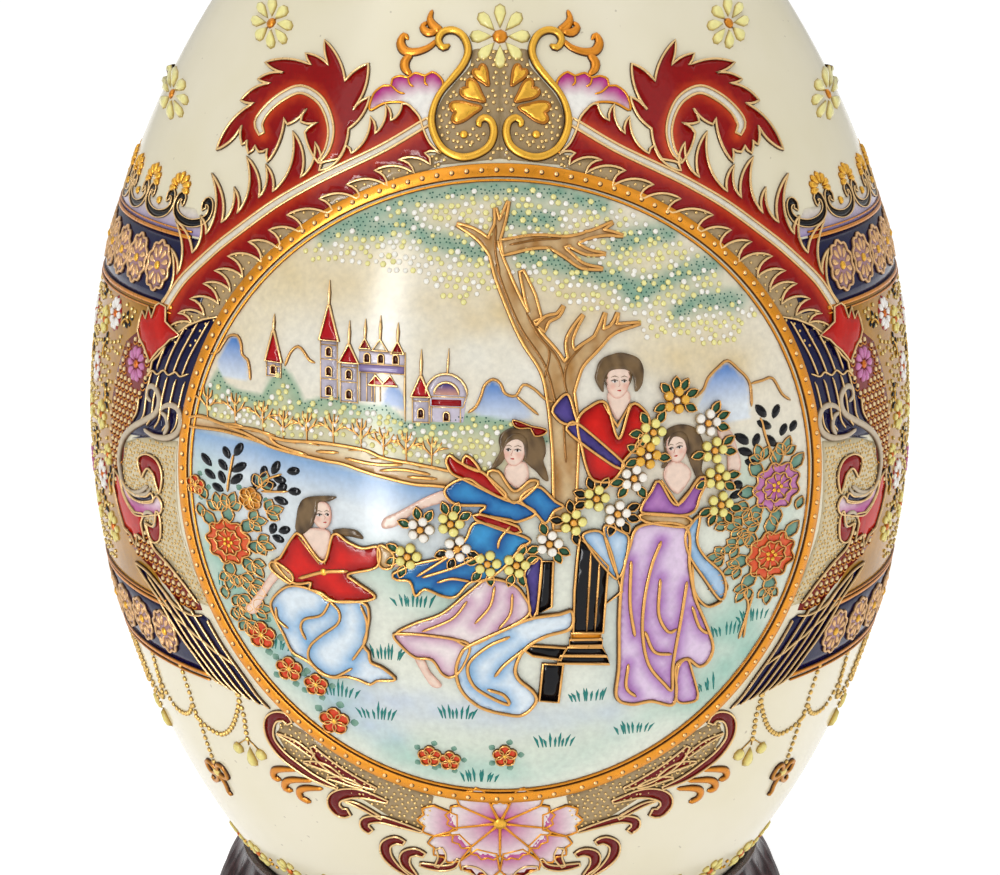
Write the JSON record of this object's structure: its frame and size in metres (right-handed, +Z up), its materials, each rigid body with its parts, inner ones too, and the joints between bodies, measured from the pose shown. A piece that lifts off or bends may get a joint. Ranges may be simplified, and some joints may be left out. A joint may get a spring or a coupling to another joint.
{
  "type": "porcelain egg vase",
  "caption": "Tall egg-shaped porcelain vase with a small mouth at its tip and a framed round picture panel front and back, resting in the dish of a fluted wooden stand.",
  "frame": {"origin": "centre of the stand's underside, on the surface it stands on", "axes": "+Z up along the egg's axis; -Y towards the front picture panel, +Y towards the back panel"},
  "size_m": [0.2, 0.2, 0.3181],
  "materials": {
    "glazed_porcelain": "clear gloss glaze, ivory, with raised gilt and enamel decoration",
    "dark_wood": "dark red-brown lacquer, satin gloss",
    "gilt": "bright burnished gold on raised slip",
    "enamel": "thick glossy enamels in deep red, navy, pink, green and white"
  },
  "bodies": {
    "root": {"egg_vase": "glazed_porcelain", "stand": "dark_wood"}
  },
  "joints": []
}
